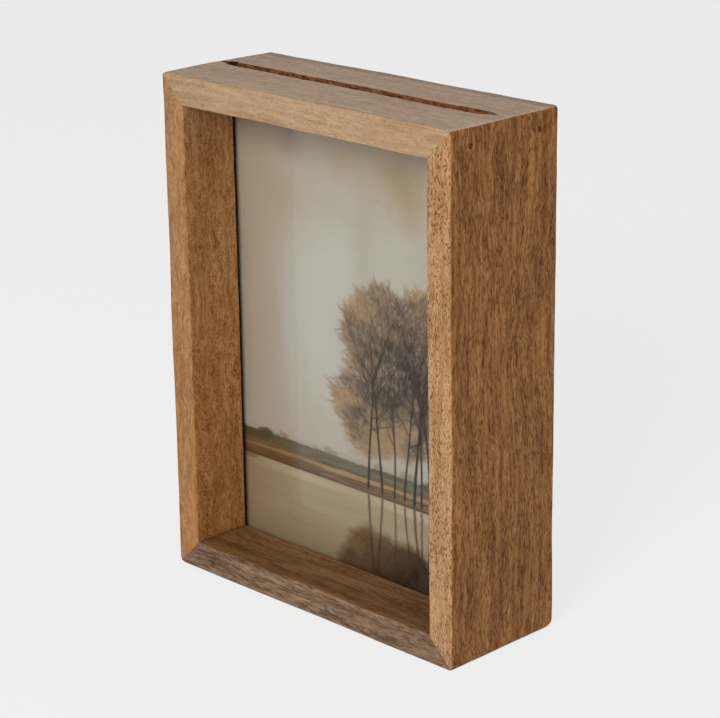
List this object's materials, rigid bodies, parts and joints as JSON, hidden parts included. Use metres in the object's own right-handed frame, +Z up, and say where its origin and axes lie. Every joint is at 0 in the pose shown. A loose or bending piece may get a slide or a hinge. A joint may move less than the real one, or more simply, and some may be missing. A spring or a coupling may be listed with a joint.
{
  "type": "picture frame",
  "caption": "Deep, free-standing wooden picture frame with mitred corners, loaded through a slot in its top rail with a print between two sheets of glass.",
  "frame": {"origin": "centre of the footprint, on the surface that the frame stands on", "axes": "+Z up along the stiles, +X to the right along the rails, -Y out of the front"},
  "size_m": [0.144, 0.053, 0.192],
  "materials": {
    "wood_top_rail": "oiled, open pores",
    "wood_bottom_rail": "oiled, open pores",
    "wood_left_stile": "oiled, open pores",
    "wood_right_stile": "oiled, open pores",
    "clear_front_glass": "clear float glass, ground edges",
    "clear_back_glass": "clear float glass, ground edges",
    "print_paper": "matte printed paper",
    "brad_steel": "bright wire",
    "wood_filler": "dark wood paste, sanded flush"
  },
  "bodies": {
    "frame": {"top_rail": "wood_top_rail", "bottom_rail": "wood_bottom_rail", "left_stile": "wood_left_stile", "right_stile": "wood_right_stile", "brad_top_left_front": "brad_steel", "brad_bottom_left_front": "brad_steel", "brad_top_left_back": "brad_steel", "brad_bottom_left_back": "brad_steel", "brad_top_right_front": "brad_steel", "brad_bottom_right_front": "brad_steel", "brad_top_right_back": "brad_steel", "brad_bottom_right_back": "brad_steel", "filler_top_left_front": "wood_filler", "filler_bottom_left_front": "wood_filler", "filler_top_left_back": "wood_filler", "filler_bottom_left_back": "wood_filler", "filler_top_right_front": "wood_filler", "filler_bottom_right_front": "wood_filler", "filler_top_right_back": "wood_filler", "filler_bottom_right_back": "wood_filler"},
    "front_glass": {"front_glass": "clear_front_glass"},
    "print": {"print": "print_paper"},
    "back_glass": {"back_glass": "clear_back_glass"}
  },
  "joints": [
    {"name": "front_glass_lift", "type": "slide", "parent": "frame", "child": "front_glass", "axis": [0, 0, 1], "range_m": [0, 0.19]},
    {"name": "print_lift", "type": "slide", "parent": "frame", "child": "print", "axis": [0, 0, 1], "range_m": [0, 0.19]},
    {"name": "back_glass_lift", "type": "slide", "parent": "frame", "child": "back_glass", "axis": [0, 0, 1], "range_m": [0, 0.19]}
  ]
}
